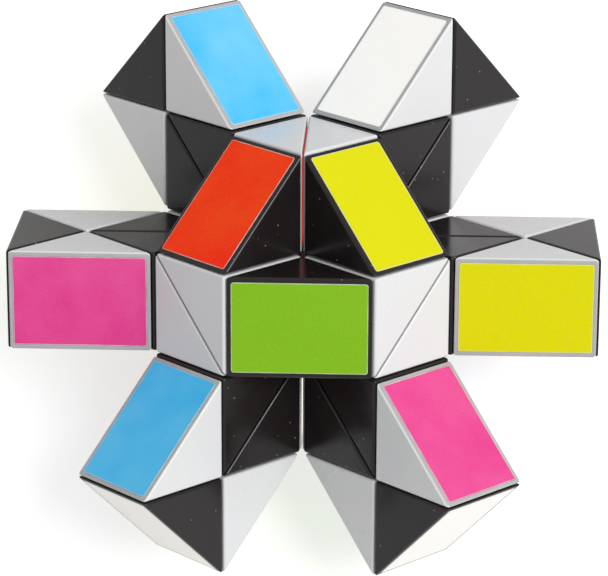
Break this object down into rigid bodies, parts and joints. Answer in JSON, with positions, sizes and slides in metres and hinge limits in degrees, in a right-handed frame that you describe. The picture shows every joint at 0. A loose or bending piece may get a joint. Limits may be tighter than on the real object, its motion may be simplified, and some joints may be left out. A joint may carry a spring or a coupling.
{
  "type": "twisty snake puzzle",
  "caption": "Twisty snake puzzle: a chain of black and white triangular wedges on turning hinges, folded into a star, with coloured labels on their sloping faces.",
  "frame": {"origin": "middle of the star, on the surface that its three rear edges rest on", "axes": "+Z out of the front of the star, +X to the right and +Y to the top of the star as it is seen from the front"},
  "size_m": [0.113, 0.1138, 0.0573],
  "materials": {
    "white_shell": "polished injection moulded ABS",
    "black_shell": "polished injection moulded ABS",
    "green_label": "satin printed vinyl",
    "orange_label": "satin printed vinyl",
    "yellow_label": "satin printed vinyl",
    "blue_label": "satin printed vinyl",
    "pink_label": "satin printed vinyl",
    "white_label": "satin printed vinyl"
  },
  "bodies": {
    "wedge_01": {"wedge_01": "white_shell", "end_plug_first": "white_shell"},
    "wedge_02": {"wedge_02": "black_shell"},
    "wedge_03": {"wedge_03": "white_shell"},
    "wedge_04": {"wedge_04": "black_shell"},
    "wedge_05": {"wedge_05": "white_shell"},
    "wedge_06": {"wedge_06": "black_shell"},
    "wedge_07": {"wedge_07": "white_shell", "label_07": "pink_label"},
    "wedge_08": {"wedge_08": "black_shell"},
    "wedge_09": {"wedge_09": "white_shell"},
    "wedge_10": {"wedge_10": "black_shell"},
    "wedge_11": {"wedge_11": "white_shell", "label_11": "yellow_label"},
    "wedge_12": {"wedge_12": "black_shell"},
    "wedge_13": {"wedge_13": "white_shell"},
    "wedge_14": {"wedge_14": "black_shell"},
    "wedge_15": {"wedge_15": "white_shell"},
    "wedge_16": {"wedge_16": "black_shell"},
    "wedge_17": {"wedge_17": "white_shell"},
    "wedge_18": {"wedge_18": "black_shell"},
    "wedge_19": {"wedge_19": "white_shell", "label_19": "white_label"},
    "wedge_20": {"wedge_20": "black_shell"},
    "wedge_21": {"wedge_21": "white_shell"},
    "wedge_22": {"wedge_22": "black_shell", "label_22": "yellow_label"},
    "wedge_23": {"wedge_23": "white_shell"},
    "wedge_24": {"wedge_24": "black_shell", "label_24": "green_label"},
    "wedge_25": {"wedge_25": "white_shell"},
    "wedge_26": {"wedge_26": "black_shell", "label_26": "orange_label"},
    "wedge_27": {"wedge_27": "white_shell"},
    "wedge_28": {"wedge_28": "black_shell"},
    "wedge_29": {"wedge_29": "white_shell", "label_29": "blue_label"},
    "wedge_30": {"wedge_30": "black_shell"},
    "wedge_31": {"wedge_31": "white_shell"},
    "wedge_32": {"wedge_32": "black_shell"},
    "wedge_33": {"wedge_33": "white_shell"},
    "wedge_34": {"wedge_34": "black_shell"},
    "wedge_35": {"wedge_35": "white_shell"},
    "wedge_36": {"wedge_36": "black_shell"},
    "wedge_37": {"wedge_37": "white_shell", "label_37": "pink_label"},
    "wedge_38": {"wedge_38": "black_shell"},
    "wedge_39": {"wedge_39": "white_shell"},
    "wedge_40": {"wedge_40": "black_shell"},
    "wedge_41": {"wedge_41": "white_shell", "label_41": "blue_label"},
    "wedge_42": {"wedge_42": "black_shell"},
    "wedge_43": {"wedge_43": "white_shell"},
    "wedge_44": {"wedge_44": "black_shell"},
    "wedge_45": {"wedge_45": "white_shell"},
    "wedge_46": {"wedge_46": "black_shell"},
    "wedge_47": {"wedge_47": "white_shell"},
    "wedge_48": {"wedge_48": "black_shell", "end_plug_last": "black_shell"}
  },
  "joints": [
    {"name": "hinge_01_02", "type": "hinge", "parent": "wedge_02", "child": "wedge_01", "pos_m": [0.01414, 0, 0.01134], "axis": [0, 0.8165, 0.5774], "range_deg": [-3.2, 0]},
    {"name": "hinge_02_03", "type": "hinge", "parent": "wedge_03", "child": "wedge_02", "pos_m": [0.00707, -0.01225, 0.01134], "axis": [0.7071, 0.4082, -0.5774], "range_deg": [-24, 0]},
    {"name": "hinge_03_04", "type": "hinge", "parent": "wedge_04", "child": "wedge_03", "pos_m": [0.00707, -0.02041, 0.02288], "axis": [-0.7071, 0.4082, -0.5774], "range_deg": [-2.4, 0]},
    {"name": "hinge_04_05", "type": "hinge", "parent": "wedge_05", "child": "wedge_04", "pos_m": [0.01414, -0.03266, 0.02288], "axis": [0, 0.8165, 0.5774], "range_deg": [0, 0.8]},
    {"name": "hinge_05_06", "type": "hinge", "parent": "wedge_06", "child": "wedge_05", "pos_m": [0.02121, -0.04491, 0.02288], "axis": [-0.7071, 0.4082, -0.5774], "range_deg": [-4, 0]},
    {"name": "hinge_06_07", "type": "hinge", "parent": "wedge_07", "child": "wedge_06", "pos_m": [0.02828, -0.04083, 0.03443], "axis": [0, -0.8165, -0.5774], "range_deg": [0, 0.8]},
    {"name": "hinge_07_08", "type": "hinge", "parent": "wedge_08", "child": "wedge_07", "pos_m": [0.02121, -0.02858, 0.03443], "axis": [0.7071, -0.4082, 0.5774], "range_deg": [-4, 0]},
    {"name": "hinge_08_09", "type": "hinge", "parent": "wedge_09", "child": "wedge_08", "pos_m": [0.01414, -0.01633, 0.03443], "axis": [0, -0.8165, -0.5774], "range_deg": [-8, 0]},
    {"name": "hinge_09_10", "type": "hinge", "parent": "wedge_10", "child": "wedge_09", "pos_m": [0.02121, -0.00408, 0.03443], "axis": [-0.7071, -0.4082, 0.5774], "range_deg": [0, 1.2]},
    {"name": "hinge_10_11", "type": "hinge", "parent": "wedge_11", "child": "wedge_10", "pos_m": [0.03535, -0.00408, 0.03443], "axis": [-0.7071, 0.4082, -0.5774], "range_deg": [0, 0.8]},
    {"name": "hinge_11_12", "type": "hinge", "parent": "wedge_12", "child": "wedge_11", "pos_m": [0.0495, -0.00408, 0.03443], "axis": [-0.7071, -0.4082, 0.5774], "range_deg": [0, 4]},
    {"name": "hinge_12_13", "type": "hinge", "parent": "wedge_13", "child": "wedge_12", "pos_m": [0.0495, 0.00408, 0.02288], "axis": [0.7071, -0.4082, 0.5774], "range_deg": [0, 0.8]},
    {"name": "hinge_13_14", "type": "hinge", "parent": "wedge_14", "child": "wedge_13", "pos_m": [0.03535, 0.00408, 0.02288], "axis": [0.7071, 0.4082, -0.5774], "range_deg": [0, 4]},
    {"name": "hinge_14_15", "type": "hinge", "parent": "wedge_15", "child": "wedge_14", "pos_m": [0.02121, 0.00408, 0.02288], "axis": [0.7071, -0.4082, 0.5774], "range_deg": [0, 8]},
    {"name": "hinge_15_16", "type": "hinge", "parent": "wedge_16", "child": "wedge_15", "pos_m": [0.01414, 0.01633, 0.02288], "axis": [0, -0.8165, -0.5774], "range_deg": [0, 4]},
    {"name": "hinge_16_17", "type": "hinge", "parent": "wedge_17", "child": "wedge_16", "pos_m": [0.02121, 0.02858, 0.02288], "axis": [-0.7071, -0.4082, 0.5774], "range_deg": [-0.32, 0]},
    {"name": "hinge_17_18", "type": "hinge", "parent": "wedge_18", "child": "wedge_17", "pos_m": [0.02828, 0.04083, 0.02288], "axis": [0, -0.8165, -0.5774], "range_deg": [0, 8]},
    {"name": "hinge_18_19", "type": "hinge", "parent": "wedge_19", "child": "wedge_18", "pos_m": [0.02121, 0.04491, 0.03443], "axis": [0.7071, 0.4082, -0.5774], "range_deg": [-0.32, 0]},
    {"name": "hinge_19_20", "type": "hinge", "parent": "wedge_20", "child": "wedge_19", "pos_m": [0.01414, 0.03266, 0.03443], "axis": [0, 0.8165, 0.5774], "range_deg": [0, 8]},
    {"name": "hinge_20_21", "type": "hinge", "parent": "wedge_21", "child": "wedge_20", "pos_m": [0.00707, 0.02041, 0.03443], "axis": [0.7071, 0.4082, -0.5774], "range_deg": [0, 0.32]},
    {"name": "hinge_21_22", "type": "hinge", "parent": "wedge_22", "child": "wedge_21", "pos_m": [0.00707, 0.01225, 0.04598], "axis": [-0.7071, 0.4082, -0.5774], "range_deg": [-40, 0]},
    {"name": "hinge_22_23", "type": "hinge", "parent": "wedge_23", "child": "wedge_22", "pos_m": [0.01414, 0, 0.04598], "axis": [0, 0.8165, 0.5774], "range_deg": [0, 1.6]},
    {"name": "hinge_23_24", "type": "hinge", "parent": "wedge_24", "child": "wedge_23", "pos_m": [0.00707, -0.01225, 0.04598], "axis": [0.7071, 0.4082, -0.5774], "range_deg": [0, 4]},
    {"name": "hinge_24_25", "type": "hinge", "parent": "wedge_24", "child": "wedge_25", "pos_m": [-0.00707, -0.01225, 0.04598], "axis": [-0.7071, 0.4082, -0.5774], "range_deg": [-80, 0]},
    {"name": "hinge_25_26", "type": "hinge", "parent": "wedge_25", "child": "wedge_26", "pos_m": [-0.01414, 0, 0.04598], "axis": [0, 0.8165, 0.5774], "range_deg": [0, 1.6]},
    {"name": "hinge_26_27", "type": "hinge", "parent": "wedge_26", "child": "wedge_27", "pos_m": [-0.00707, 0.01225, 0.04598], "axis": [0.7071, 0.4082, -0.5774], "range_deg": [0, 48]},
    {"name": "hinge_27_28", "type": "hinge", "parent": "wedge_27", "child": "wedge_28", "pos_m": [-0.00707, 0.02041, 0.03443], "axis": [-0.7071, 0.4082, -0.5774], "range_deg": [-2.4, 0]},
    {"name": "hinge_28_29", "type": "hinge", "parent": "wedge_28", "child": "wedge_29", "pos_m": [-0.01414, 0.03266, 0.03443], "axis": [0, 0.8165, 0.5774], "range_deg": [0, 0.8]},
    {"name": "hinge_29_30", "type": "hinge", "parent": "wedge_29", "child": "wedge_30", "pos_m": [-0.02121, 0.04491, 0.03443], "axis": [-0.7071, 0.4082, -0.5774], "range_deg": [-4, 0]},
    {"name": "hinge_30_31", "type": "hinge", "parent": "wedge_30", "child": "wedge_31", "pos_m": [-0.02828, 0.04083, 0.02288], "axis": [0, -0.8165, -0.5774], "range_deg": [0, 0.8]},
    {"name": "hinge_31_32", "type": "hinge", "parent": "wedge_31", "child": "wedge_32", "pos_m": [-0.02121, 0.02858, 0.02288], "axis": [0.7071, -0.4082, 0.5774], "range_deg": [-4, 0]},
    {"name": "hinge_32_33", "type": "hinge", "parent": "wedge_32", "child": "wedge_33", "pos_m": [-0.01414, 0.01633, 0.02288], "axis": [0, -0.8165, -0.5774], "range_deg": [-4, 0]},
    {"name": "hinge_33_34", "type": "hinge", "parent": "wedge_33", "child": "wedge_34", "pos_m": [-0.02121, 0.00408, 0.02288], "axis": [-0.7071, -0.4082, 0.5774], "range_deg": [0, 0.32]},
    {"name": "hinge_34_35", "type": "hinge", "parent": "wedge_34", "child": "wedge_35", "pos_m": [-0.03535, 0.00408, 0.02288], "axis": [-0.7071, 0.4082, -0.5774], "range_deg": [-8, 0]},
    {"name": "hinge_35_36", "type": "hinge", "parent": "wedge_35", "child": "wedge_36", "pos_m": [-0.0495, 0.00408, 0.02288], "axis": [-0.7071, -0.4082, 0.5774], "range_deg": [0, 0.32]},
    {"name": "hinge_36_37", "type": "hinge", "parent": "wedge_36", "child": "wedge_37", "pos_m": [-0.0495, -0.00408, 0.03443], "axis": [0.7071, -0.4082, 0.5774], "range_deg": [-8, 0]},
    {"name": "hinge_37_38", "type": "hinge", "parent": "wedge_37", "child": "wedge_38", "pos_m": [-0.03535, -0.00408, 0.03443], "axis": [0.7071, 0.4082, -0.5774], "range_deg": [0, 0.32]},
    {"name": "hinge_38_39", "type": "hinge", "parent": "wedge_38", "child": "wedge_39", "pos_m": [-0.02121, -0.00408, 0.03443], "axis": [0.7071, -0.4082, 0.5774], "range_deg": [-4, 0]},
    {"name": "hinge_39_40", "type": "hinge", "parent": "wedge_39", "child": "wedge_40", "pos_m": [-0.01414, -0.01633, 0.03443], "axis": [0, -0.8165, -0.5774], "range_deg": [0, 0.32]},
    {"name": "hinge_40_41", "type": "hinge", "parent": "wedge_40", "child": "wedge_41", "pos_m": [-0.02121, -0.02858, 0.03443], "axis": [-0.7071, -0.4082, 0.5774], "range_deg": [-8, 0]},
    {"name": "hinge_41_42", "type": "hinge", "parent": "wedge_41", "child": "wedge_42", "pos_m": [-0.02828, -0.04083, 0.03443], "axis": [0, -0.8165, -0.5774], "range_deg": [0, 0.24]},
    {"name": "hinge_42_43", "type": "hinge", "parent": "wedge_42", "child": "wedge_43", "pos_m": [-0.02121, -0.04491, 0.02288], "axis": [0.7071, 0.4082, -0.5774], "range_deg": [-8, 0]},
    {"name": "hinge_43_44", "type": "hinge", "parent": "wedge_43", "child": "wedge_44", "pos_m": [-0.01414, -0.03266, 0.02288], "axis": [0, 0.8165, 0.5774], "range_deg": [-0.16, 0]},
    {"name": "hinge_44_45", "type": "hinge", "parent": "wedge_44", "child": "wedge_45", "pos_m": [-0.00707, -0.02041, 0.02288], "axis": [0.7071, 0.4082, -0.5774], "range_deg": [0, 1.2]},
    {"name": "hinge_45_46", "type": "hinge", "parent": "wedge_45", "child": "wedge_46", "pos_m": [-0.00707, -0.01225, 0.01134], "axis": [-0.7071, 0.4082, -0.5774], "range_deg": [0, 180]},
    {"name": "hinge_46_47", "type": "hinge", "parent": "wedge_46", "child": "wedge_47", "pos_m": [-0.01414, 0, 0.01134], "axis": [0, 0.8165, 0.5774], "range_deg": [0, 1.2]},
    {"name": "hinge_47_48", "type": "hinge", "parent": "wedge_47", "child": "wedge_48", "pos_m": [-0.00707, 0.01225, 0.01134], "axis": [0.7071, 0.4082, -0.5774], "range_deg": [0, 0.8]}
  ],
  "couplings": [
    {"joint": "hinge_01_02", "follows": "hinge_24_25", "ratio": 0.04},
    {"joint": "hinge_02_03", "follows": "hinge_24_25", "ratio": 0.3},
    {"joint": "hinge_03_04", "follows": "hinge_24_25", "ratio": 0.03},
    {"joint": "hinge_04_05", "follows": "hinge_24_25", "ratio": -0.01},
    {"joint": "hinge_05_06", "follows": "hinge_24_25", "ratio": 0.05},
    {"joint": "hinge_06_07", "follows": "hinge_24_25", "ratio": -0.01},
    {"joint": "hinge_07_08", "follows": "hinge_24_25", "ratio": 0.05},
    {"joint": "hinge_08_09", "follows": "hinge_24_25", "ratio": 0.1},
    {"joint": "hinge_09_10", "follows": "hinge_24_25", "ratio": -0.015},
    {"joint": "hinge_10_11", "follows": "hinge_24_25", "ratio": -0.01},
    {"joint": "hinge_11_12", "follows": "hinge_24_25", "ratio": -0.05},
    {"joint": "hinge_12_13", "follows": "hinge_24_25", "ratio": -0.01},
    {"joint": "hinge_13_14", "follows": "hinge_24_25", "ratio": -0.05},
    {"joint": "hinge_14_15", "follows": "hinge_24_25", "ratio": -0.1},
    {"joint": "hinge_15_16", "follows": "hinge_24_25", "ratio": -0.05},
    {"joint": "hinge_16_17", "follows": "hinge_24_25", "ratio": 0.004},
    {"joint": "hinge_17_18", "follows": "hinge_24_25", "ratio": -0.1},
    {"joint": "hinge_18_19", "follows": "hinge_24_25", "ratio": 0.004},
    {"joint": "hinge_19_20", "follows": "hinge_24_25", "ratio": -0.1},
    {"joint": "hinge_20_21", "follows": "hinge_24_25", "ratio": -0.004},
    {"joint": "hinge_21_22", "follows": "hinge_24_25", "ratio": 0.5},
    {"joint": "hinge_22_23", "follows": "hinge_24_25", "ratio": -0.02},
    {"joint": "hinge_23_24", "follows": "hinge_24_25", "ratio": -0.05},
    {"joint": "hinge_25_26", "follows": "hinge_24_25", "ratio": -0.02},
    {"joint": "hinge_26_27", "follows": "hinge_24_25", "ratio": -0.6},
    {"joint": "hinge_27_28", "follows": "hinge_24_25", "ratio": 0.03},
    {"joint": "hinge_28_29", "follows": "hinge_24_25", "ratio": -0.01},
    {"joint": "hinge_29_30", "follows": "hinge_24_25", "ratio": 0.05},
    {"joint": "hinge_30_31", "follows": "hinge_24_25", "ratio": -0.01},
    {"joint": "hinge_31_32", "follows": "hinge_24_25", "ratio": 0.05},
    {"joint": "hinge_32_33", "follows": "hinge_24_25", "ratio": 0.05},
    {"joint": "hinge_33_34", "follows": "hinge_24_25", "ratio": -0.004},
    {"joint": "hinge_34_35", "follows": "hinge_24_25", "ratio": 0.1},
    {"joint": "hinge_35_36", "follows": "hinge_24_25", "ratio": -0.004},
    {"joint": "hinge_36_37", "follows": "hinge_24_25", "ratio": 0.1},
    {"joint": "hinge_37_38", "follows": "hinge_24_25", "ratio": -0.004},
    {"joint": "hinge_38_39", "follows": "hinge_24_25", "ratio": 0.05},
    {"joint": "hinge_39_40", "follows": "hinge_24_25", "ratio": -0.004},
    {"joint": "hinge_40_41", "follows": "hinge_24_25", "ratio": 0.1},
    {"joint": "hinge_41_42", "follows": "hinge_24_25", "ratio": -0.003},
    {"joint": "hinge_42_43", "follows": "hinge_24_25", "ratio": 0.1},
    {"joint": "hinge_43_44", "follows": "hinge_24_25", "ratio": 0.002},
    {"joint": "hinge_44_45", "follows": "hinge_24_25", "ratio": -0.015},
    {"joint": "hinge_46_47", "follows": "hinge_24_25", "ratio": -0.015},
    {"joint": "hinge_47_48", "follows": "hinge_24_25", "ratio": -0.01}
  ]
}
